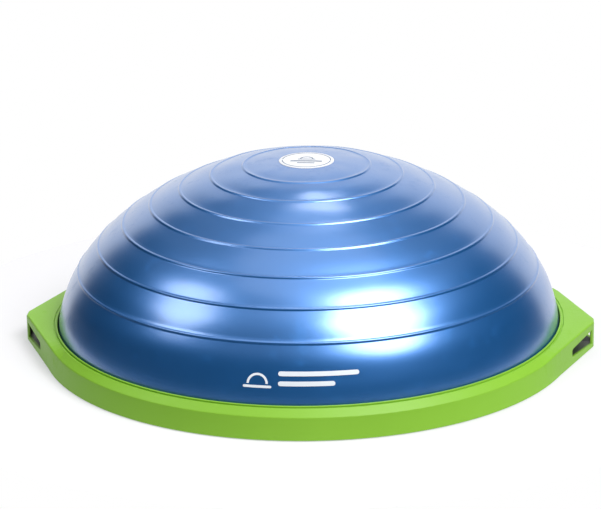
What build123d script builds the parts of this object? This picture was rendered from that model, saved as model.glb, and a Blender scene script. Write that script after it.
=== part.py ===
"""Balance dome trainer: an inflatable dome clamped to a round platform by a rim with two grip ears.

Frame: millimetres, +Z up, origin on the floor at the centre of the underside.
The grip ears lie on the X axis, the front of the dome faces -Y and the air valve faces +Y.
"""
import os
from math import acos, atan2, cos, degrees, hypot, radians, sin

from build123d import *

os.makedirs("parts", exist_ok=True)

# ---------------------------------------------------------------- driving dimensions
EAR_SPAN = 650.0          # overall width over the tips of the two ears
RIM_RADIUS = 303.0        # outer wall of the rim at its bottom edge
RIM_BOTTOM = 0.8          # the rim hangs this far above the floor, on the feet
LIP_TOP = 34.0            # top of the thin lip that holds the dome
LIP_RADIUS = 286.6        # inner face of the rim, against the dome
DOME_APEX = 217.2         # inflated height of the skin
DOME_WALL = 4.5           # thickness of the moulded skin
RIDGE_COUNT = 7           # raised ring lines around the dome
RIDGE_FIRST = 71.5        # distance along the skin from the apex to the first ring line
RIDGE_PITCH = 38.15       # distance along the skin from one ring line to the next
SCREW_COUNT = 12          # screws that hold the platform plate under the rim
FOOT_COUNT = 8            # anti-slip pads under the plate

# ---------------------------------------------------------------- rim and ears
RIM_WALL = 3.5            # wall thickness of the moulded rim
SHOULDER = (299.6, 25.2)  # outer corner between side wall and sloping deck (radius, height)
DECK_TOP = (290.9, 33.2)  # inner end of the sloping deck
SHOULDER_FILLET = 2.5
EDGE_FILLET = 0.8
LIP_THICKNESS = 2.4
LIP_GROOVE_DEPTH = 1.6    # narrow gap line between deck and lip
LIP_GROOVE_SLOPE = 0.6    # how far the groove's outer side leans inwards
CLAMP_HEIGHT = 13.0       # underside of the rim's inner wall, which presses on the dome's bead
CLAMP_OUTER = 290.0       # outer face of the rim's inner wall
EAR_TIP_WIDTH = 12.0      # blunt end of each ear
EAR_EDGE_HEIGHT = 30.5    # top edge of an ear's side faces, before rounding
EAR_EDGE_FILLET = 2.2
EAR_WALL_RADIUS = 302.4   # the top edges are tangent to this circle
EAR_FADE_TURN = 20.0      # from here, in degrees from the ear's axis, an ear sinks into the rim
EAR_END_TURN = 28.0
EAR_SUNK = 0.4            # where an ear ends, its faces dip this far below the rim's own
EAR_TOP_SUNK = 0.6        # and its top starts this far below the inner end of the deck
EAR_STEPS = 12            # sections along each half of an ear
EAR_TIP = EAR_SPAN / 2
EAR_BACK = 295.0          # flat wall that closes an ear towards the platform plate
EAR_ROOF = 22.0           # underside of an ear's top, inside the rim's channel
TUNNEL_BACK = 298.0       # inner wall of the finger tunnel
TUNNEL_FLOOR = 4.6        # the tunnel narrows from the ear's tip towards its two ends
TUNNEL_CEILING = 23.0
TUNNEL_END_FLOOR = 9.5
TUNNEL_END_CEILING = 19.0
TUNNEL_END_FILLET = 3.0
TUNNEL_HALF_LENGTH = 67.0
POST_DEPTH = 4.0          # post at the ear's tip, between its two finger windows
POST_WIDTH = 21.0
CHANNEL_HEIGHT = 29.2     # roof of the channel under the deck
CHANNEL_INSET = (3.2, 2.2)  # its outer top corner, inwards from the shoulder
RIB_COUNT = 36            # stiffening ribs in the channel
RIB_THICKNESS = 2.0
RIB_LENGTH = 9.0
RIB_OVERLAP = 1.0         # how far a rib reaches into the rim's inner wall
RIB_TOP = 24.0
BOSS_RADIUS = 3.7         # screw bosses in the channel
BOSS_TOP = 25.0

# ---------------------------------------------------------------- platform plate, screws and feet
PLATE_RADIUS = 298.0
PLATE_FLAT = 294.5        # the plate is cut straight here, beside each ear
PLATE_BOTTOM = 2.5
PLATE_TOP = 8.0           # land under the dome's bead and under the screw bosses
PLATE_SKIN = 4.5
LAND_INNER = 277.0
PLATE_RIB_TOP = 17.0
PLATE_RIB = 2.5
PLATE_RIB_RINGS = (60.0, 130.0, 200.0, 262.0)
PLATE_SPOKES = 24
TREAD_RINGS = (90.0, 120.0, 150.0, 180.0, 210.0, 240.0)
TREAD_WIDTH = 3.0
TREAD_DEPTH = 0.8
SCREW_CIRCLE = 293.8
SCREW_RADIUS = 1.75
SCREW_HEAD_RADIUS = 3.4
SCREW_LENGTH = 19.0
SCREW_POINT = 1.5
SLOT_LENGTH = 3.8
SLOT_WIDTH = 0.9
SLOT_DEPTH = 1.2
PILOT_DEPTH = 15.0         # depth of the screw holes in the bosses
SCREW_PLAY = 0.1
HEAD_PLAY = 0.4            # extra radius of the countersinks
COUNTERSINK_ANGLE = 90.0
HEAD_SUNK = 0.2            # depth of the screw heads below the plate's face
FOOT_CIRCLE = 262.0
FOOT_RADIUS = 17.0
FOOT_POCKET = 1.2
FOOT_PLAY = 0.3
FOOT_EDGE = 0.8

# ---------------------------------------------------------------- dome, badge and valve
DOME_OUTLINE = [             # outer line of the skin (radius, height), from the apex to the rim
    (0.0, DOME_APEX),
    (71.5, 211.6),
    (143.4, 187.4),
    (209.0, 148.8),
    (261.4, 93.8),
    (279.2, 58.0),
    (285.4, 30.0),
]
DOME_END_SLOPE = (0.14, -1)
INNER_END_SLOPE = (-0.14, 1)
BEAD_OUTER = 289.5
BEAD_INNER = 279.0
BEAD_TOP = CLAMP_HEIGHT
BEAD_NECK = 286.0
BEAD_NECK_HEIGHT = 2.0
RIDGE_RADIUS = 2.0           # section of a ring line
RIDGE_SUNK = 1.1             # its centre lies this far inside the skin's outer face
FLOOR_BOTTOM = 17.4
FLOOR_THICKNESS = 2.2
BADGE_RADIUS = 31.0
BADGE_PROUD = 0.4
BADGE_SUNK = 0.8
BADGE_GAP = 0.3
VALVE_ARC = 343.0            # distance along the skin from the apex to the valve
VALVE_HOLE = 12.2
BARREL_RADIUS = 12.0
BARREL_DEPTH = 13.5
BARREL_PROUD = 0.8
COLLAR_RADIUS = 18.0
COLLAR_TOP = -7.0
COLLAR_THICKNESS = 2.0
BORE_RADIUS = 5.0
PLUG_PLAY = 0.06
PLUG_LENGTH = 11.5
PLUG_HEAD_RADIUS = 9.5
PLUG_HEAD_HEIGHT = 2.6
PLUG_EDGE = 0.9
PLUG_DIMPLE = 6.0


def finish_part(part, name):
    """Label a finished piece and write its STEP file."""
    part.label = name
    export_step(part, f"parts/{name}.step")


# ================================================================ the dome's outer line
with BuildLine(Plane.XZ) as dome_line:
    Spline(*DOME_OUTLINE, tangents=((1, 0), DOME_END_SLOPE))
DOME_CURVE = dome_line.edge()
DOME_ARC = DOME_CURVE.length


def dome_point(arc, inset=0.0):
    """(radius, height) at a distance along the dome's outer line, moved inwards by inset."""
    point = DOME_CURVE.position_at(arc, position_mode=PositionMode.LENGTH)
    tangent = DOME_CURVE.tangent_at(arc, position_mode=PositionMode.LENGTH)
    return point.X + inset * tangent.Z, point.Z - inset * tangent.X


# ================================================================ dome skin
INNER_STEPS = 8
INNER_ARCS = [DOME_ARC * step / INNER_STEPS for step in range(1, INNER_STEPS + 1)]
INNER_LINE = [(0.0, DOME_APEX - DOME_WALL)] + [dome_point(arc, DOME_WALL) for arc in INNER_ARCS]
BADGE_ARCS = (0.0, BADGE_RADIUS / 2, BADGE_RADIUS)
ridge_arcs = [RIDGE_FIRST + RIDGE_PITCH * step for step in range(RIDGE_COUNT)]

valve_radius, valve_height = dome_point(VALVE_ARC)
valve_base = dome_point(VALVE_ARC, 1.0)
VALVE_PLANE = Plane(
    origin=(0, valve_radius, valve_height),
    x_dir=(1, 0, 0),
    z_dir=(0, valve_radius - valve_base[0], valve_height - valve_base[1]),
)

with BuildPart() as dome_skin:
    with BuildSketch(Plane.XZ):
        with BuildLine():
            Spline(*DOME_OUTLINE, tangents=((1, 0), DOME_END_SLOPE))
            Polyline(
                DOME_OUTLINE[-1],
                (BEAD_NECK, BEAD_TOP + BEAD_NECK_HEIGHT),
                (BEAD_NECK, BEAD_TOP),
                (BEAD_OUTER, BEAD_TOP),
                (BEAD_OUTER, PLATE_TOP),
                (BEAD_INNER, PLATE_TOP),
                (BEAD_INNER, FLOOR_BOTTOM + FLOOR_THICKNESS),
                INNER_LINE[-1],
            )
            Spline(*reversed(INNER_LINE), tangents=(INNER_END_SLOPE, (-1, 0)))
            Line(INNER_LINE[0], DOME_OUTLINE[0])
        make_face()
    revolve(axis=Axis.Z)
    # raised ring lines on the outer face
    for arc in ridge_arcs:
        with BuildSketch(Plane.XZ):
            with Locations(dome_point(arc, RIDGE_SUNK)):
                Circle(RIDGE_RADIUS)
        revolve(axis=Axis.Z)
    # shallow seat for the badge at the apex
    with BuildSketch(Plane.XZ):
        with BuildLine():
            seat = Spline(*[dome_point(arc, BADGE_SUNK) for arc in BADGE_ARCS])
            rise = Line(seat @ 1, (BADGE_RADIUS + BADGE_GAP, DOME_APEX + BADGE_PROUD))
            Polyline(rise @ 1, (0, DOME_APEX + BADGE_PROUD), seat @ 0)
        make_face()
    revolve(axis=Axis.Z, mode=Mode.SUBTRACT)
    # hole for the valve's barrel
    with BuildSketch(VALVE_PLANE.offset(-2 * DOME_WALL)):
        Circle(VALVE_HOLE)
    extrude(amount=4 * DOME_WALL, mode=Mode.SUBTRACT)
finish_part(dome_skin.part, "dome_skin")

# ================================================================ dome floor
with BuildPart() as dome_floor:
    with BuildSketch(Plane.XY.offset(FLOOR_BOTTOM)):
        Circle(BEAD_INNER)
    extrude(amount=FLOOR_THICKNESS)
finish_part(dome_floor.part, "dome_floor")

# ================================================================ badge at the apex
with BuildPart() as top_badge:
    with BuildSketch(Plane.XZ):
        with BuildLine():
            under = Spline(*[dome_point(arc, BADGE_SUNK) for arc in BADGE_ARCS])
            upper = Spline(*[dome_point(arc, -BADGE_PROUD) for arc in BADGE_ARCS])
            Line(under @ 1, upper @ 1)
            Line(under @ 0, upper @ 0)
        make_face()
    revolve(axis=Axis.Z)
finish_part(top_badge.part, "top_badge")

# ================================================================ valve
with BuildPart() as valve_grommet:
    with BuildSketch(VALVE_PLANE.offset(-BARREL_DEPTH)):
        Circle(BARREL_RADIUS)
    extrude(amount=BARREL_DEPTH + BARREL_PROUD)
    with BuildSketch(VALVE_PLANE.offset(COLLAR_TOP - COLLAR_THICKNESS)):
        Circle(COLLAR_RADIUS)
    extrude(amount=COLLAR_THICKNESS)
    with BuildSketch(VALVE_PLANE.offset(-BARREL_DEPTH)):
        Circle(BORE_RADIUS)
    extrude(amount=BARREL_DEPTH + BARREL_PROUD, mode=Mode.SUBTRACT)
finish_part(valve_grommet.part, "valve_grommet")

with BuildPart() as valve_plug:
    with BuildSketch(VALVE_PLANE.offset(BARREL_PROUD)):
        Circle(PLUG_HEAD_RADIUS)
    extrude(amount=PLUG_HEAD_HEIGHT)
    fillet(valve_plug.edges().group_by(Axis(VALVE_PLANE.origin, VALVE_PLANE.z_dir))[-1], PLUG_EDGE)
    with BuildSketch(VALVE_PLANE.offset(BARREL_PROUD - PLUG_LENGTH)):
        Circle(BORE_RADIUS - PLUG_PLAY)
    extrude(amount=PLUG_LENGTH)
    # shallow dimple in the head
    with BuildSketch(VALVE_PLANE.offset(BARREL_PROUD + PLUG_HEAD_HEIGHT - PLUG_EDGE)):
        Circle(PLUG_DIMPLE)
    extrude(amount=PLUG_HEAD_HEIGHT, mode=Mode.SUBTRACT)
finish_part(valve_plug.part, "valve_plug")

# ================================================================ one grip ear, on +X
TIP_DISTANCE = hypot(EAR_TIP, EAR_TIP_WIDTH / 2)
TIP_TURN = degrees(atan2(EAR_TIP_WIDTH / 2, EAR_TIP))


def ear_reach(turn, radius):
    """Distance from the dome's axis to a side face that runs from the tip along a circle's tangent."""
    tangent_turn = TIP_TURN + degrees(acos(radius / TIP_DISTANCE))
    return radius / cos(radians(max(0, tangent_turn - turn)))


def ear_section(turn, side):
    """Section of the ear at an angle from its axis, on the side -1 (front) or +1 (back)."""
    fade = max(0, (turn - EAR_FADE_TURN) / (EAR_END_TURN - EAR_FADE_TURN))
    reach = ear_reach(turn, EAR_WALL_RADIUS)
    edge = (
        reach + (SHOULDER[0] - EAR_SUNK - reach) * fade,
        EAR_EDGE_HEIGHT + (SHOULDER[1] - EAR_SUNK - EAR_EDGE_HEIGHT) * fade,
    )
    top = (DECK_TOP[0] + EAR_SUNK, DECK_TOP[1] - EAR_TOP_SUNK)
    across = (cos(radians(turn)), side * sin(radians(turn)))
    plane = Plane(origin=(0, 0, 0), x_dir=(*across, 0), z_dir=(across[1], -across[0], 0))
    with BuildSketch(plane) as section:
        with BuildLine():
            Polyline(
                (top[0], RIM_BOTTOM),
                (ear_reach(turn, RIM_RADIUS - EAR_SUNK), RIM_BOTTOM),
                edge,
                top,
                close=True,
            )
        make_face()
        fillet(section.vertices().sort_by_distance(edge)[0], EAR_EDGE_FILLET)
    return section.sketch


with BuildPart() as finger_tunnel:
    with BuildSketch(Plane.YZ.offset(TUNNEL_BACK)) as window:
        with BuildLine():
            Polyline(
                (0, TUNNEL_CEILING),
                (TUNNEL_HALF_LENGTH, TUNNEL_END_CEILING),
                (TUNNEL_HALF_LENGTH, TUNNEL_END_FLOOR),
                (0, TUNNEL_FLOOR),
                (-TUNNEL_HALF_LENGTH, TUNNEL_END_FLOOR),
                (-TUNNEL_HALF_LENGTH, TUNNEL_END_CEILING),
                close=True,
            )
        make_face()
        ends = window.vertices().group_by(Axis.X)
        fillet(ends[0] + ends[-1], TUNNEL_END_FILLET)
    extrude(amount=EAR_TIP - TUNNEL_BACK)
    # the post that stands at the tip, between the two windows
    with BuildSketch(Plane.XY):
        with Locations((EAR_TIP - POST_DEPTH, 0)):
            Rectangle(EAR_TIP, POST_WIDTH, align=(Align.MIN, Align.CENTER))
    extrude(amount=LIP_TOP, mode=Mode.SUBTRACT)

with BuildPart() as grip_ear:
    for side in (-1, 1):
        for step in range(EAR_STEPS + 1):
            add(ear_section(TIP_TURN + (EAR_END_TURN - TIP_TURN) * step / EAR_STEPS, side))
        loft(ruled=True)
    # blunt tip, between the two innermost sections
    for side in (-1, 1):
        add(ear_section(TIP_TURN, side))
    loft(ruled=True)
    # leave the rim's own channel open, up to the flat wall behind the tunnel
    with BuildSketch(Plane.XY):
        Circle(RIM_RADIUS - RIM_WALL)
        with Locations((EAR_BACK, 0)):
            Rectangle(EAR_TIP, 2 * TUNNEL_HALF_LENGTH, align=(Align.MIN, Align.CENTER), mode=Mode.SUBTRACT)
    extrude(amount=EAR_ROOF, mode=Mode.SUBTRACT)

# ================================================================ rim ring
LIP_OUTER = LIP_RADIUS + LIP_THICKNESS
LIP_GROOVE_FLOOR = DECK_TOP[1] - LIP_GROOVE_DEPTH
CHANNEL_TOP = (CLAMP_OUTER, CHANNEL_HEIGHT)
CHANNEL_SHOULDER = (SHOULDER[0] - CHANNEL_INSET[0], SHOULDER[1] - CHANNEL_INSET[1])

with BuildPart() as rim_ring:
    with BuildSketch(Plane.XZ) as rim_section:
        with BuildLine():
            Polyline(
                (RIM_RADIUS, RIM_BOTTOM),
                SHOULDER,
                DECK_TOP,
                (DECK_TOP[0] - LIP_GROOVE_SLOPE, LIP_GROOVE_FLOOR),
                (LIP_OUTER, LIP_GROOVE_FLOOR),
                (LIP_OUTER, LIP_TOP),
                (LIP_RADIUS, LIP_TOP),
                (LIP_RADIUS, CLAMP_HEIGHT),
                (CLAMP_OUTER, CLAMP_HEIGHT),
                CHANNEL_TOP,
                CHANNEL_SHOULDER,
                (RIM_RADIUS - RIM_WALL, RIM_BOTTOM),
                close=True,
            )
        make_face()
        fillet(rim_section.vertices().sort_by_distance(SHOULDER)[0], SHOULDER_FILLET)
        for corner in ((LIP_RADIUS, LIP_TOP), (LIP_OUTER, LIP_TOP), DECK_TOP):
            fillet(rim_section.vertices().sort_by_distance(corner)[0], EDGE_FILLET)
    revolve(axis=Axis.Z)
    # the two ears, each with its finger tunnel
    for turn in (0, 180):
        add(grip_ear.part.rotate(Axis.Z, turn))
        add(finger_tunnel.part.rotate(Axis.Z, turn), mode=Mode.SUBTRACT)
    # stiffening ribs in the channel
    with BuildSketch(Plane.XY.offset(CLAMP_HEIGHT)):
        with PolarLocations(CLAMP_OUTER - RIB_OVERLAP, RIB_COUNT):
            Rectangle(RIB_LENGTH, RIB_THICKNESS, align=(Align.MIN, Align.CENTER))
    extrude(amount=RIB_TOP - CLAMP_HEIGHT)
    # screw bosses
    with BuildSketch(Plane.XY.offset(PLATE_TOP)):
        with PolarLocations(SCREW_CIRCLE, SCREW_COUNT, start_angle=180 / SCREW_COUNT):
            Circle(BOSS_RADIUS)
    extrude(amount=BOSS_TOP - PLATE_TOP)
    with BuildSketch(Plane.XY.offset(PLATE_TOP)):
        with PolarLocations(SCREW_CIRCLE, SCREW_COUNT, start_angle=180 / SCREW_COUNT):
            Circle(SCREW_RADIUS + SCREW_PLAY)
    extrude(amount=PILOT_DEPTH, mode=Mode.SUBTRACT)
finish_part(rim_ring.part, "rim_ring")

# ================================================================ platform plate
with BuildPart() as platform_plate:
    with BuildSketch(Plane.XY.offset(PLATE_BOTTOM)):
        Circle(PLATE_RADIUS)
        Rectangle(2 * PLATE_FLAT, 2 * PLATE_RADIUS, mode=Mode.INTERSECT)
    extrude(amount=PLATE_SKIN)
    # land that carries the dome's bead and the screw bosses
    with BuildSketch(Plane.XY.offset(PLATE_BOTTOM)):
        Circle(PLATE_RADIUS)
        Rectangle(2 * PLATE_FLAT, 2 * PLATE_RADIUS, mode=Mode.INTERSECT)
        Circle(LAND_INNER, mode=Mode.SUBTRACT)
    extrude(amount=PLATE_TOP - PLATE_BOTTOM)
    # ring ribs and spokes on the hidden side
    with BuildSketch(Plane.XY.offset(PLATE_BOTTOM)) as ribs:
        for radius in reversed(PLATE_RIB_RINGS):
            Circle(radius + PLATE_RIB / 2)
            Circle(radius - PLATE_RIB / 2, mode=Mode.SUBTRACT)
        with PolarLocations(PLATE_RIB_RINGS[0], PLATE_SPOKES):
            Rectangle(LAND_INNER - PLATE_RIB_RINGS[0], PLATE_RIB, align=(Align.MIN, Align.CENTER))
    extrude(amount=PLATE_RIB_TOP - PLATE_BOTTOM)
    # shallow tread grooves in the face that is stood on when the trainer is turned over
    with BuildSketch(Plane.XY.offset(PLATE_BOTTOM)):
        for radius in reversed(TREAD_RINGS):
            Circle(radius + TREAD_WIDTH / 2)
            Circle(radius - TREAD_WIDTH / 2, mode=Mode.SUBTRACT)
    extrude(amount=TREAD_DEPTH, mode=Mode.SUBTRACT)
    # pockets for the feet
    with BuildSketch(Plane.XY.offset(PLATE_BOTTOM)):
        with PolarLocations(FOOT_CIRCLE, FOOT_COUNT, start_angle=180 / FOOT_COUNT):
            Circle(FOOT_RADIUS + FOOT_PLAY)
    extrude(amount=FOOT_POCKET, mode=Mode.SUBTRACT)
    # countersunk screw holes, entered from below
    with Locations(Plane.XY.offset(PLATE_BOTTOM).rotated((180, 0, 0))):
        with PolarLocations(SCREW_CIRCLE, SCREW_COUNT, start_angle=180 / SCREW_COUNT):
            CounterSinkHole(
                SCREW_RADIUS + SCREW_PLAY, SCREW_HEAD_RADIUS + HEAD_PLAY, PLATE_TOP, COUNTERSINK_ANGLE
            )
finish_part(platform_plate.part, "platform_plate")

# ================================================================ screws, one node
with BuildPart() as base_screws:
    with BuildSketch(Plane.XZ):
        with BuildLine():
            Polyline(
                (0, PLATE_BOTTOM + HEAD_SUNK),
                (SCREW_HEAD_RADIUS, PLATE_BOTTOM + HEAD_SUNK),
                (SCREW_RADIUS, PLATE_BOTTOM + HEAD_SUNK + SCREW_HEAD_RADIUS - SCREW_RADIUS),
                (SCREW_RADIUS, PLATE_BOTTOM + SCREW_LENGTH - SCREW_POINT),
                (0, PLATE_BOTTOM + SCREW_LENGTH),
                close=True,
            )
        make_face()
    revolve(axis=Axis.Z)
    with BuildSketch(Plane.XY.offset(PLATE_BOTTOM + HEAD_SUNK)):
        Rectangle(SLOT_LENGTH, SLOT_WIDTH)
        Rectangle(SLOT_WIDTH, SLOT_LENGTH)
    extrude(amount=SLOT_DEPTH, mode=Mode.SUBTRACT)
screw = base_screws.part
screw_ring = PolarLocations(SCREW_CIRCLE, SCREW_COUNT, start_angle=180 / SCREW_COUNT)
screw_group = Compound(children=[place * screw for place in screw_ring])
finish_part(screw_group, "base_screws")

# ================================================================ feet
for index, place in enumerate(PolarLocations(FOOT_CIRCLE, FOOT_COUNT, start_angle=180 / FOOT_COUNT), 1):
    with BuildPart() as foot:
        with BuildSketch(Plane(place)):
            Circle(FOOT_RADIUS)
        extrude(amount=PLATE_BOTTOM + FOOT_POCKET)
        chamfer(foot.edges().group_by(Axis.Z)[0], FOOT_EDGE)
    finish_part(foot.part, f"foot_{index}")
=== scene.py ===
"""Looks of the balance dome trainer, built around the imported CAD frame.

Objects and lights are in metres. Sizes repeated from the part's source are in millimetres; MM converts them.
"""
from math import atan2, cos, hypot, pi, radians, sin

import bmesh
import bpy
import numpy as np
from mathutils import Matrix, Quaternion, Vector


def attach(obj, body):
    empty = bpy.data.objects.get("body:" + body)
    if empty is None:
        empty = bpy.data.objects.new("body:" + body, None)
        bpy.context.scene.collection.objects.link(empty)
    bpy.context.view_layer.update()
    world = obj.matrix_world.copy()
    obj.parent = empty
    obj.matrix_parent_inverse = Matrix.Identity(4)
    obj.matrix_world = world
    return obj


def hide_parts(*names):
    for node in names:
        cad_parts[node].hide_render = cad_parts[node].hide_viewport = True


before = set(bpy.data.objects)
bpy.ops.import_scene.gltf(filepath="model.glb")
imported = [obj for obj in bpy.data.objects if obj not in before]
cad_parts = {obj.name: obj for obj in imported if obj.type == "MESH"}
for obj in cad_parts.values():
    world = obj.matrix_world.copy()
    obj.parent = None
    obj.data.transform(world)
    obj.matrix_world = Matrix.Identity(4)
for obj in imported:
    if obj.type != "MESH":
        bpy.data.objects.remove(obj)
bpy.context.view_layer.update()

MM = 0.001

# ================================================================ sizes of the CAD part, in millimetres
DOME_OUTLINE = [             # outer line of the skin (radius, height), from the apex to the rim
    (0.0, 217.2),
    (71.5, 211.6),
    (143.4, 187.4),
    (209.0, 148.8),
    (261.4, 93.8),
    (279.2, 58.0),
    (285.4, 30.0),
]
DOME_END_SLOPE = (0.14, -1.0)
DOME_WALL = 4.5
RIDGE_COUNT = 7
RIDGE_FIRST = 71.5
RIDGE_PITCH = 38.15
RIDGE_HEIGHT = 0.9           # of the ring lines, above the skin
RIDGE_WIDTH = 4.6
BADGE_RADIUS = 31.0
BADGE_PROUD = 0.4
BADGE_SUNK = 0.8
VALVE_ARC = 343.0
VALVE_HOLE = 12.2
LAND_TOP = 8.0               # where the skin's bead stands on the platform plate
BEAD_TOP = 13.0
BEAD_NECK = 286.0
BEAD_NECK_HEIGHT = 2.0
BEAD_OUTER = 289.5
BEAD_INNER = 279.0
FLOOR_TOP = 19.6
EAR_WALL_RADIUS = 302.4      # the ears' side faces lie this far from the dome's axis
EAR_WALL_TURN = 22.6         # and face this many degrees away from the X axis
TUNNEL_BACK = 297.5          # a grip ear's finger tunnel lies between these distances along X
TUNNEL_FRONT = 321.2
TUNNEL_FLOOR = 4.4
TUNNEL_CEILING = 23.2


# ================================================================ small helpers
SHARP_ANGLE = radians(50)    # edges steeper than this stay crisp in smooth shading


def new_object(name, mesh, body, material, smooth=True):
    """Put a finished mesh into the scene as a piece that rides on a body."""
    obj = bpy.data.objects.new(name, mesh)
    bpy.context.scene.collection.objects.link(obj)
    mesh.materials.clear()
    mesh.materials.append(material)
    if smooth:
        mesh.polygons.foreach_set("use_smooth", [True] * len(mesh.polygons))
        mesh.set_sharp_from_angle(angle=SHARP_ANGLE)
    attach(obj, body)
    return obj


def clamped_spline(points, start_slope, end_slope, samples):
    """Cubic spline through the points by chord length, with given end directions; returns an array."""
    pts = np.array(points, float)
    knots = np.concatenate([[0.0], np.cumsum(np.hypot(*np.diff(pts, axis=0).T))])
    n = len(pts)
    h = np.diff(knots)
    system = np.zeros((n, n))
    right = np.zeros((n, 2))
    system[0, 0] = system[-1, -1] = 1.0
    right[0] = np.divide(start_slope, hypot(*start_slope))
    right[-1] = np.divide(end_slope, hypot(*end_slope))
    for i in range(1, n - 1):
        system[i, i - 1] = h[i]
        system[i, i] = 2 * (h[i - 1] + h[i])
        system[i, i + 1] = h[i - 1]
        right[i] = 3 * (h[i] * (pts[i] - pts[i - 1]) / h[i - 1] + h[i - 1] * (pts[i + 1] - pts[i]) / h[i])
    slopes = np.linalg.solve(system, right)
    t = np.linspace(0, knots[-1], samples)
    i = np.clip(np.searchsorted(knots, t, side="right") - 1, 0, n - 2)
    u = ((t - knots[i]) / h[i])[:, None]
    span = h[i][:, None]
    return (
        (2 * u**3 - 3 * u**2 + 1) * pts[i]
        + (u**3 - 2 * u**2 + u) * span * slopes[i]
        + (3 * u**2 - 2 * u**3) * pts[i + 1]
        + (u**3 - u**2) * span * slopes[i + 1]
    )


# ================================================================ the dome's outer line
FINE_SAMPLES = 4000
FINE_LINE = clamped_spline(DOME_OUTLINE, (1, 0), DOME_END_SLOPE, FINE_SAMPLES)
FINE_ARC = np.concatenate([[0.0], np.cumsum(np.hypot(*np.diff(FINE_LINE, axis=0).T))])
DOME_ARC = FINE_ARC[-1]


def dome_point(arc, raised=0.0):
    """(radius, height) in millimetres at a distance along the dome's outer line, moved outwards."""
    r = np.interp(arc, FINE_ARC, FINE_LINE[:, 0])
    z = np.interp(arc, FINE_ARC, FINE_LINE[:, 1])
    ahead = np.array([np.interp(arc + 0.5, FINE_ARC, FINE_LINE[:, k]) for k in (0, 1)])
    behind = np.array([np.interp(arc - 0.5, FINE_ARC, FINE_LINE[:, k]) for k in (0, 1)])
    run = ahead - behind
    run = run / np.hypot(*run)
    return r - raised * run[1], z + raised * run[0]


RIDGE_FULLNESS = 0.8         # below 1 the crest of a ring line is broader than a cosine's
RIDGE_STEP = 0.4             # spacing of the mesh's rings on a ring line
SKIN_STEP = 3.2              # and between two ring lines
SEAT_GAP = 0.3               # play around the badge


def ridge_lift(arc):
    """Height of the raised ring lines above the skin at a distance from the apex."""
    lift = 0.0
    for index in range(RIDGE_COUNT):
        off = abs(arc - RIDGE_FIRST - RIDGE_PITCH * index) / (RIDGE_WIDTH / 2)
        if off < 1:
            lift += RIDGE_HEIGHT * (0.5 + 0.5 * cos(pi * off)) ** RIDGE_FULLNESS
    return lift


def section_arcs():
    """Distances along the skin where the mesh has a ring of points: close together on the ridges."""
    arcs = [BADGE_RADIUS + SEAT_GAP]
    position = arcs[0]
    while position < DOME_ARC - 0.1:
        near = min(abs(position - RIDGE_FIRST - RIDGE_PITCH * k) for k in range(RIDGE_COUNT))
        position += RIDGE_STEP if near < RIDGE_WIDTH * 0.75 else SKIN_STEP
        arcs.append(min(position, DOME_ARC))
    return arcs


def lathe(bm, profile, steps):
    """Turn a profile of (radius, height) points in metres about Z; returns the rings of points."""
    rings = []
    for r, z in profile:
        if r < 1e-9:
            rings.append([bm.verts.new((0, 0, z))])
        else:
            rings.append([
                bm.verts.new((r * cos(2 * pi * k / steps), r * sin(2 * pi * k / steps), z))
                for k in range(steps)
            ])
    for a, b in zip(rings, rings[1:]):
        for k in range(steps):
            nxt = (k + 1) % steps
            if len(a) == 1:
                bm.faces.new((a[0], b[nxt], b[k]))
            elif len(b) == 1:
                bm.faces.new((a[k], a[nxt], b[0]))
            else:
                bm.faces.new((a[k], a[nxt], b[nxt], b[k]))
    bmesh.ops.recalc_face_normals(bm, faces=bm.faces)
    return rings


def mesh_from(bm, name):
    mesh = bpy.data.meshes.new(name)
    bm.to_mesh(mesh)
    bm.free()
    return mesh


# ================================================================ materials
GRAIN_DEPTH = 0.0003
RUB_SCALE = 45


def material(name):
    mat = bpy.data.materials.new(name)
    mat.use_nodes = True
    nodes = mat.node_tree.nodes
    shader = nodes["Principled BSDF"]
    return mat, nodes, mat.node_tree.links, shader


def noise(nodes, links, scale, detail=4.0, roughness=0.6):
    coords = nodes.new("ShaderNodeTexCoord")
    tex = nodes.new("ShaderNodeTexNoise")
    tex.inputs["Scale"].default_value = scale
    tex.inputs["Detail"].default_value = detail
    tex.inputs["Roughness"].default_value = roughness
    links.new(coords.outputs["Object"], tex.inputs["Vector"])
    return tex.outputs["Fac"]


def span(nodes, links, value, low, high, frm=(0.3, 0.7)):
    node = nodes.new("ShaderNodeMapRange")
    node.inputs["From Min"].default_value = frm[0]
    node.inputs["From Max"].default_value = frm[1]
    node.inputs["To Min"].default_value = low
    node.inputs["To Max"].default_value = high
    links.new(value, node.inputs["Value"])
    return node.outputs["Result"]


def mix_colour(nodes, links, factor, a, b):
    node = nodes.new("ShaderNodeMix")
    node.data_type = "RGBA"
    for socket, value in ((node.inputs["A"], a), (node.inputs["B"], b)):
        if isinstance(value, tuple):
            socket.default_value = (*value, 1)
        else:
            links.new(value, socket)
    links.new(factor, node.inputs["Factor"])
    return node.outputs["Result"]


def maths(nodes, links, operation, *values):
    node = nodes.new("ShaderNodeMath")
    node.operation = operation
    for socket, value in zip(node.inputs, values):
        if isinstance(value, (int, float)):
            socket.default_value = value
        else:
            links.new(value, socket)
    return node.outputs[0]


def bump(nodes, links, height, strength, distance):
    node = nodes.new("ShaderNodeBump")
    node.inputs["Strength"].default_value = strength
    node.inputs["Distance"].default_value = distance
    links.new(height, node.inputs["Height"])
    return node.outputs["Normal"]


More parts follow.
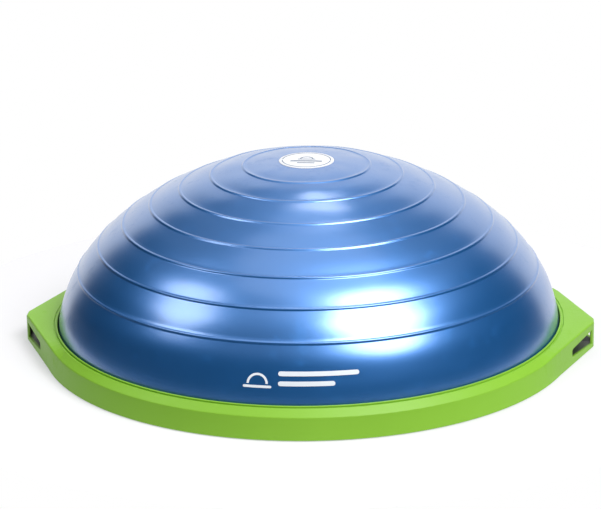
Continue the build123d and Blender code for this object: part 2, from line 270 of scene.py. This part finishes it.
def plastic(name, colour, other, rough, grain_scale, grain, metallic=0.0, coat=0.0,
            coat_rough=0.1, coat_ior=1.5, cloud=6.0, scuff=0.12):
    """Moulded plastic: cloudy colour, uneven gloss, a fine moulding grain and rubbed, duller spots."""
    mat, nodes, links, shader = material(name)
    clouds = noise(nodes, links, cloud, 3)
    fine = noise(nodes, links, grain_scale, 5)
    tint = mix_colour(nodes, links, span(nodes, links, clouds, 0, 1), colour, other)
    links.new(tint, shader.inputs["Base Color"])
    gloss = span(nodes, links, fine, rough[0], rough[1])
    rubbed = span(nodes, links, noise(nodes, links, RUB_SCALE, 9, 0.72), 0, scuff, (0.56, 0.68))
    links.new(maths(nodes, links, "ADD", gloss, rubbed), shader.inputs["Roughness"])
    links.new(bump(nodes, links, fine, grain, GRAIN_DEPTH), shader.inputs["Normal"])
    shader.inputs["Metallic"].default_value = metallic
    shader.inputs["Coat Weight"].default_value = coat
    shader.inputs["Coat Roughness"].default_value = coat_rough
    shader.inputs["Coat IOR"].default_value = coat_ior
    return mat


LIME = plastic("lime_plastic", (0.2, 0.428, 0.028), (0.214, 0.455, 0.033), (0.36, 0.5), 900, 0.25)
BLUE_VINYL = plastic(
    "pearl_blue_vinyl", (0.015, 0.17, 0.52), (0.019, 0.185, 0.56), (0.31, 0.39), 1200, 0.08,
    metallic=0.69, coat=1.0, coat_rough=0.24, coat_ior=2.0, cloud=9,
)
MEMBRANE = plastic("inner_vinyl", (0.02, 0.1, 0.33), (0.03, 0.12, 0.36), (0.45, 0.6), 500, 0.3)
BADGE_WHITE = plastic("badge_white", (0.7, 0.71, 0.74), (0.66, 0.68, 0.72), (0.3, 0.42), 800, 0.1)
MARK_WHITE = plastic("mark_white", (0.8, 0.84, 0.88), (0.74, 0.79, 0.85), (0.3, 0.4), 700, 0.1)
MARK_BLUE = plastic("mark_blue", (0.045, 0.09, 0.17), (0.065, 0.12, 0.21), (0.35, 0.45), 700, 0.1)
PLUG_WHITE = plastic("plug_white", (0.78, 0.8, 0.83), (0.72, 0.74, 0.78), (0.35, 0.5), 900, 0.2)
GROMMET_BLUE = plastic("grommet_blue", (0.03, 0.16, 0.5), (0.025, 0.13, 0.42), (0.4, 0.5), 900, 0.2)
PLATE_BLACK = plastic("plate_black", (0.018, 0.018, 0.02), (0.028, 0.028, 0.03), (0.45, 0.65), 1400, 0.6)
RUBBER = plastic("foot_rubber", (0.02, 0.02, 0.02), (0.035, 0.035, 0.034), (0.7, 0.85), 700, 0.5)
STEEL = plastic("zinc_steel", (0.55, 0.56, 0.58), (0.45, 0.46, 0.47), (0.25, 0.45), 2500, 0.3, metallic=1.0)

TUNNEL_SHADE = (0.008, 0.022, 0.003)
TUNNEL_FADE = (1.0, 4.0)     # depth behind the ear's side face over which the shade sets in


def shade_tunnels(mat):
    """Darken the finger tunnels in the two ears, where little light gets in."""
    nodes, links = mat.node_tree.nodes, mat.node_tree.links

    def math(operation, *values):
        return maths(nodes, links, operation, *values)

    def between(value, low, high):
        return math("MULTIPLY", math("GREATER_THAN", value, low * MM), math("LESS_THAN", value, high * MM))

    place = nodes.new("ShaderNodeSeparateXYZ")
    links.new(nodes.new("ShaderNodeTexCoord").outputs["Object"], place.inputs[0])
    x, y = math("ABSOLUTE", place.outputs[0]), math("ABSOLUTE", place.outputs[1])
    z = place.outputs[2]
    turn = radians(EAR_WALL_TURN)
    reach = math("ADD", math("MULTIPLY", x, cos(turn)), math("MULTIPLY", y, sin(turn)))
    depth = math("SUBTRACT", EAR_WALL_RADIUS * MM, reach)
    deep = span(nodes, links, depth, 0, 1, (TUNNEL_FADE[0] * MM, TUNNEL_FADE[1] * MM))
    beyond = between(x, TUNNEL_BACK, TUNNEL_FRONT)
    level = between(z, TUNNEL_FLOOR, TUNNEL_CEILING)
    mask = math("MULTIPLY", deep, math("MULTIPLY", beyond, level))
    colour = nodes["Principled BSDF"].inputs["Base Color"]
    links.new(mix_colour(nodes, links, mask, colour.links[0].from_socket, TUNNEL_SHADE), colour)


LIME.node_tree.nodes["Principled BSDF"].inputs["Specular IOR Level"].default_value = 0.3
shade_tunnels(LIME)

NODE_MATERIALS = {
    "rim_ring": LIME,
    "platform_plate": PLATE_BLACK,
    "dome_floor": MEMBRANE,
    "valve_grommet": GROMMET_BLUE,
    "valve_plug": PLUG_WHITE,
    "base_screws": STEEL,
}
for name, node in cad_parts.items():
    look = RUBBER if name.startswith("foot_") else NODE_MATERIALS.get(name)
    if look is not None:
        for slot_entry in node.material_slots:
            slot_entry.material = look

# ================================================================ dome skin
DOME_STEPS = 240
INNER_SAMPLES = 40


def skin_lift(arc, turn):
    """Uneven bulges of an inflated skin, in millimetres; they die out at the apex and at the rim."""
    fade = min(1.0, arc / 90) * min(1.0, (DOME_ARC - arc) / 30)
    slow = 0.30 * sin(3 * turn + 0.021 * arc + 0.7) * sin(0.043 * arc + 1.1)
    quick = 0.16 * sin(7 * turn - 0.035 * arc + 2.0) + 0.10 * sin(11 * turn + 0.06 * arc)
    pillow = 0.18 * cos(2 * pi * (arc - RIDGE_FIRST - RIDGE_PITCH / 2) / RIDGE_PITCH)
    return fade * (slow + quick + pillow)


def dome_mesh():
    """Closed shell: outer face with its ring lines, the bead under the rim, and the inner face."""
    bm = bmesh.new()
    seat = [dome_point(arc, -BADGE_SUNK) for arc in (0, BADGE_RADIUS / 2, BADGE_RADIUS + 0.1)]
    arcs = section_arcs()
    bead = [
        (BEAD_NECK, BEAD_TOP + BEAD_NECK_HEIGHT),
        (BEAD_NECK, BEAD_TOP),
        (BEAD_OUTER, BEAD_TOP),
        (BEAD_OUTER, LAND_TOP),
        (BEAD_INNER, LAND_TOP),
        (BEAD_INNER, FLOOR_TOP),
    ]
    inner = [dome_point(arc, -DOME_WALL) for arc in np.linspace(DOME_ARC, 0, INNER_SAMPLES)]
    outer = [dome_point(arc, ridge_lift(arc)) for arc in arcs]
    normals = [np.subtract(dome_point(arc, 1.0), dome_point(arc)) for arc in arcs]
    rings = lathe(bm, [(r * MM, z * MM) for r, z in seat + outer + bead + inner], DOME_STEPS)
    for arc, normal, ring in zip(arcs, normals, rings[len(seat):]):
        for step, vert in enumerate(ring):
            turn = 2 * pi * step / DOME_STEPS
            lift = skin_lift(arc, turn) * MM
            vert.co += Vector((normal[0] * cos(turn), normal[0] * sin(turn), normal[1])) * lift
    return mesh_from(bm, "dome_skin_mesh")


def valve_cutter():
    """Short cylinder along the valve's axis."""
    bm = bmesh.new()
    place = Vector((0, *dome_point(VALVE_ARC))) * MM
    out = (Vector((0, *dome_point(VALVE_ARC, 1.0))) * MM - place).normalized()
    turn = out.to_track_quat("Z", "Y").to_matrix().to_4x4()
    radius = VALVE_HOLE * MM
    bmesh.ops.create_cone(
        bm, cap_ends=True, segments=64, radius1=radius, radius2=radius, depth=4 * DOME_WALL * MM
    )
    bm.transform(Matrix.Translation(place) @ turn)
    cutter = bpy.data.objects.new("valve_cutter", mesh_from(bm, "valve_cutter_mesh"))
    bpy.context.scene.collection.objects.link(cutter)
    return cutter


def cut_hole(mesh, cutter):
    """The mesh with the cutter taken out of it; the cutter is deleted."""
    blank = bpy.data.objects.new("blank", mesh)
    bpy.context.scene.collection.objects.link(blank)
    cut = blank.modifiers.new("cut", "BOOLEAN")
    cut.operation = "DIFFERENCE"
    cut.solver = "EXACT"
    cut.object = cutter
    bpy.context.view_layer.update()
    result = bpy.data.meshes.new_from_object(blank.evaluated_get(bpy.context.evaluated_depsgraph_get()))
    bpy.data.objects.remove(blank)
    bpy.data.objects.remove(cutter)
    return result


dome = new_object("dome_shell", cut_hole(dome_mesh(), valve_cutter()), "trainer", BLUE_VINYL)
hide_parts("dome_skin")


# ================================================================ badge at the apex
BADGE_LIFT = 0.05            # clearance above its seat
BADGE_EDGE = (0.3, 0.2)      # width and height of its bevelled edge
BADGE_RINGS = 8
BADGE_STEPS = 96


def badge_mesh():
    """Thin printed disc that follows the crown of the dome."""
    bm = bmesh.new()
    under = [dome_point(arc, BADGE_LIFT - BADGE_SUNK) for arc in np.linspace(0, BADGE_RADIUS, BADGE_RINGS)]
    edge = [dome_point(BADGE_RADIUS, BADGE_PROUD - BADGE_EDGE[1])]
    flat = BADGE_RADIUS - BADGE_EDGE[0]
    upper = [dome_point(arc, BADGE_PROUD) for arc in np.linspace(flat, 0, BADGE_RINGS)]
    lathe(bm, [(r * MM, z * MM) for r, z in under + edge + upper], BADGE_STEPS)
    return mesh_from(bm, "badge_mesh")


badge = new_object("badge_disc", badge_mesh(), "trainer", BADGE_WHITE)
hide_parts("top_badge")

# ================================================================ printed marks, plain shapes only
INK_PROUD = 0.12
INK_SUNK = 0.3
MARK_TURN = 2.5              # degrees from the front towards +X
MARK_ARC = 338.0             # distance along the skin from the apex to the middle of the mark


def on_front(u, v, raised):
    """A point of the front mark: u to the right and v upwards from its middle, in millimetres."""
    radius = dome_point(MARK_ARC)[0]
    turn = radians(MARK_TURN) + u / radius
    r, z = dome_point(MARK_ARC - v, raised)
    return Vector((r * sin(turn), -r * cos(turn), z)) * MM


def on_crown(u, v, raised):
    """A point of the badge's print: u towards +X and v towards the back, from the apex."""
    arc = hypot(u, v)
    r, z = dome_point(arc, raised + BADGE_PROUD)
    turn = atan2(v, u)
    return Vector((r * cos(turn), r * sin(turn), z)) * MM


def ink(bm, grid, surface):
    """Closed thin film from a grid of (u, v) points laid on a surface."""
    films = []
    for raised in (INK_PROUD, -INK_SUNK):
        films.append([[bm.verts.new(surface(u, v, raised)) for u, v in row] for row in grid])
    top, under = films
    rows, columns = len(grid), len(grid[0])
    for i in range(rows - 1):
        for j in range(columns - 1):
            bm.faces.new((top[i][j], top[i + 1][j], top[i + 1][j + 1], top[i][j + 1]))
            bm.faces.new((under[i][j], under[i][j + 1], under[i + 1][j + 1], under[i + 1][j]))
    border = [(i, 0) for i in range(rows)]
    border += [(rows - 1, j) for j in range(1, columns)]
    border += [(i, columns - 1) for i in range(rows - 2, -1, -1)]
    border += [(0, j) for j in range(columns - 2, 0, -1)]
    for (i, j), (k, m) in zip(border, border[1:] + border[:1]):
        bm.faces.new((top[i][j], top[k][m], under[k][m], under[i][j]))


def bar(left, right, middle, height):
    """Grid of a bar with round ends."""
    half = height / 2
    grid = []
    for u in np.linspace(0, 1, 41):
        place = left + (right - left) * (1 - cos(pi * u)) / 2
        inset = max(0.0, half - min(place - left, right - place))
        reach = max(0.05, (half**2 - inset**2) ** 0.5 if inset < half else 0.05)
        grid.append([(place, middle + reach * k) for k in (-1, -0.5, 0, 0.5, 1)])
    return grid


def arch(centre, outer, inner, first, last):
    """Grid of a round band between two angles in degrees."""
    grid = []
    for angle in np.linspace(radians(first), radians(last), 49):
        radii = np.linspace(inner, outer, 4)
        grid.append([(centre[0] + r * cos(angle), centre[1] + r * sin(angle)) for r in radii])
    return grid


def dome_picture(bm, centre, size, surface):
    """Small picture of a dome over a line."""
    x, y = centre
    ink(bm, arch((x, y - 0.25 * size), 0.42 * size, 0.33 * size, 0, 180), surface)
    ink(bm, bar(x - 0.56 * size, x + 0.56 * size, y - 0.36 * size, 0.1 * size), surface)


def front_mark():
    bm = bmesh.new()
    dome_picture(bm, (-46, 1), 27, on_front)
    ink(bm, bar(-24, 62, 5.5, 5), on_front)
    ink(bm, bar(-24, 36, -5.0, 5), on_front)
    bmesh.ops.recalc_face_normals(bm, faces=bm.faces)
    return mesh_from(bm, "front_mark_mesh")


def crown_mark():
    bm = bmesh.new()
    ink(bm, arch((0, 0), 27.6, 26.6, 0, 175), on_crown)
    ink(bm, arch((0, 0), 27.6, 26.6, 185, 355), on_crown)
    dome_picture(bm, (0, 8), 18, on_crown)
    ink(bm, bar(-18, 18, -5.5, 3.2), on_crown)
    ink(bm, bar(-10, 10, -12.5, 2.2), on_crown)
    bmesh.ops.recalc_face_normals(bm, faces=bm.faces)
    return mesh_from(bm, "crown_mark_mesh")


new_object("front_mark", front_mark(), "trainer", MARK_WHITE, smooth=False)
new_object("crown_mark", crown_mark(), "trainer", MARK_BLUE, smooth=False)

# ================================================================ floor
FLOOR_RADIUS = 0.48
FLOOR_DROP = 0.0003          # keeps the floor clear of the feet's faces


def floor_material():
    mat, nodes, links, shader = material("pale_floor")
    shader.inputs["Base Color"].default_value = (0.4, 0.4, 0.4, 1)
    shader.inputs["Roughness"].default_value = 0.9
    shader.inputs["Specular IOR Level"].default_value = 0.1
    shader.inputs["Emission Color"].default_value = (0.96, 0.95, 1, 1)
    shader.inputs["Emission Strength"].default_value = 0.45
    return mat


floor_bm = bmesh.new()
bmesh.ops.create_circle(floor_bm, cap_ends=True, segments=128, radius=FLOOR_RADIUS)
floor = bpy.data.objects.new("floor", mesh_from(floor_bm, "floor_mesh"))
floor.data.materials.append(floor_material())
floor.location.z = -FLOOR_DROP
bpy.context.scene.collection.objects.link(floor)


# ================================================================ light
LIGHT_DISTANCE = 5.0
LIGHT_TARGET = Vector((0, 0, 0.1))


def towards(azimuth, elevation):
    """Unit vector from the object, in degrees: azimuth 0 is the front (-Y) and 90 is +X."""
    a, e = radians(azimuth), radians(elevation)
    return Vector((sin(a) * cos(e), -cos(a) * cos(e), sin(e)))


def softbox(name, azimuth, elevation, width, height, radiance):
    """A soft elliptical light aimed at the dome."""
    data = bpy.data.lights.new(name, "AREA")
    data.shape = "ELLIPSE"
    data.size = width
    data.size_y = height
    data.energy = radiance * pi * width * height * pi / 4
    obj = bpy.data.objects.new(name, data)
    place = towards(azimuth, elevation) * LIGHT_DISTANCE
    obj.location = place + LIGHT_TARGET
    obj.rotation_mode = "QUATERNION"
    obj.rotation_quaternion = (-place).to_track_quat("-Z", "Y")
    bpy.context.scene.collection.objects.link(obj)


softbox("key_right", 49, 52, 3.5, 3.5, 10.8)
softbox("key_left", -76, 45, 2.3, 2.2, 4.5)
softbox("overhead", 0, 89, 4.3, 4.3, 0.75)
softbox("lamp_back", 178, 58, 1.2, 0.9, 5.5)

world = bpy.data.worlds.new("studio")
bpy.context.scene.world = world
world.use_nodes = True
WN, WL = world.node_tree.nodes, world.node_tree.links
for node in list(WN):
    WN.remove(node)


def world_math(operation, *values):
    return maths(WN, WL, operation, *values)


def world_span(value, start, stop, low, high):
    node = WN.new("ShaderNodeMapRange")
    node.interpolation_type = "SMOOTHSTEP"
    for key, number in (("From Min", start), ("From Max", stop), ("To Min", low), ("To Max", high)):
        node.inputs[key].default_value = number
    WL.new(value, node.inputs["Value"])
    return node.outputs["Result"]


BACKDROP = 1.05              # round white backdrop behind the object, down to the floor
BACKDROP_EDGE = 0.75         # cosine of half its angle
BACKDROP_BLUR = 0.04
STUDIO_LOW = 0.008           # the dark studio in front of it and beside it
STUDIO_HIGH = 0.38           # its pale ceiling
STUDIO_GROUND = 0.06         # ground beyond the floor's edge
CEILING_SPAN = (0.45, 0.95)  # sines of the heights where the ceiling starts and is full
GROUND_SPAN = (-0.03, 0.0)

direction = WN.new("ShaderNodeTexCoord").outputs["Generated"]
parts = WN.new("ShaderNodeSeparateXYZ")
WL.new(direction, parts.inputs[0])
behind, upwards = parts.outputs[1], parts.outputs[2]
edge = (BACKDROP_EDGE - BACKDROP_BLUR, BACKDROP_EDGE + BACKDROP_BLUR)
backdrop = world_span(behind, *edge, 0, BACKDROP)
ceiling = world_span(upwards, *CEILING_SPAN, STUDIO_LOW, STUDIO_HIGH)
ground = world_span(upwards, *GROUND_SPAN, STUDIO_GROUND, 0)
around = world_math("MAXIMUM", world_math("MAXIMUM", backdrop, ceiling), ground)

studio = WN.new("ShaderNodeBackground")
WL.new(around, studio.inputs["Strength"])
studio.inputs["Color"].default_value = (1, 1, 1, 1)
white = WN.new("ShaderNodeBackground")
white.inputs["Color"].default_value = (1, 1, 1, 1)
seen = WN.new("ShaderNodeMixShader")
WL.new(WN.new("ShaderNodeLightPath").outputs["Is Camera Ray"], seen.inputs[0])
WL.new(studio.outputs[0], seen.inputs[1])
WL.new(white.outputs[0], seen.inputs[2])
WL.new(seen.outputs[0], WN.new("ShaderNodeOutputWorld").inputs["Surface"])

# ================================================================ camera
CAMERA_TARGET = Vector((-0.0107, 0.0310, 0.0945))
CAMERA_DISTANCE = 3.2226
CAMERA_AZIMUTH = 4.5
CAMERA_ELEVATION = 18.5
CAMERA_ROLL = -0.814
CAMERA_LENS = 168.15

camera_data = bpy.data.cameras.new("camera")
camera_data.sensor_width = 36.0
camera_data.lens = CAMERA_LENS
camera_data.clip_end = 100
camera = bpy.data.objects.new("camera", camera_data)
bpy.context.scene.collection.objects.link(camera)
back = towards(CAMERA_AZIMUTH, CAMERA_ELEVATION)
camera.location = CAMERA_TARGET + back * CAMERA_DISTANCE
camera.rotation_mode = "QUATERNION"
camera.rotation_quaternion = (-back).to_track_quat("-Z", "Y") @ Quaternion((0, 0, 1), radians(CAMERA_ROLL))
bpy.context.scene.camera = camera
bpy.context.scene.view_settings.view_transform = "Standard"
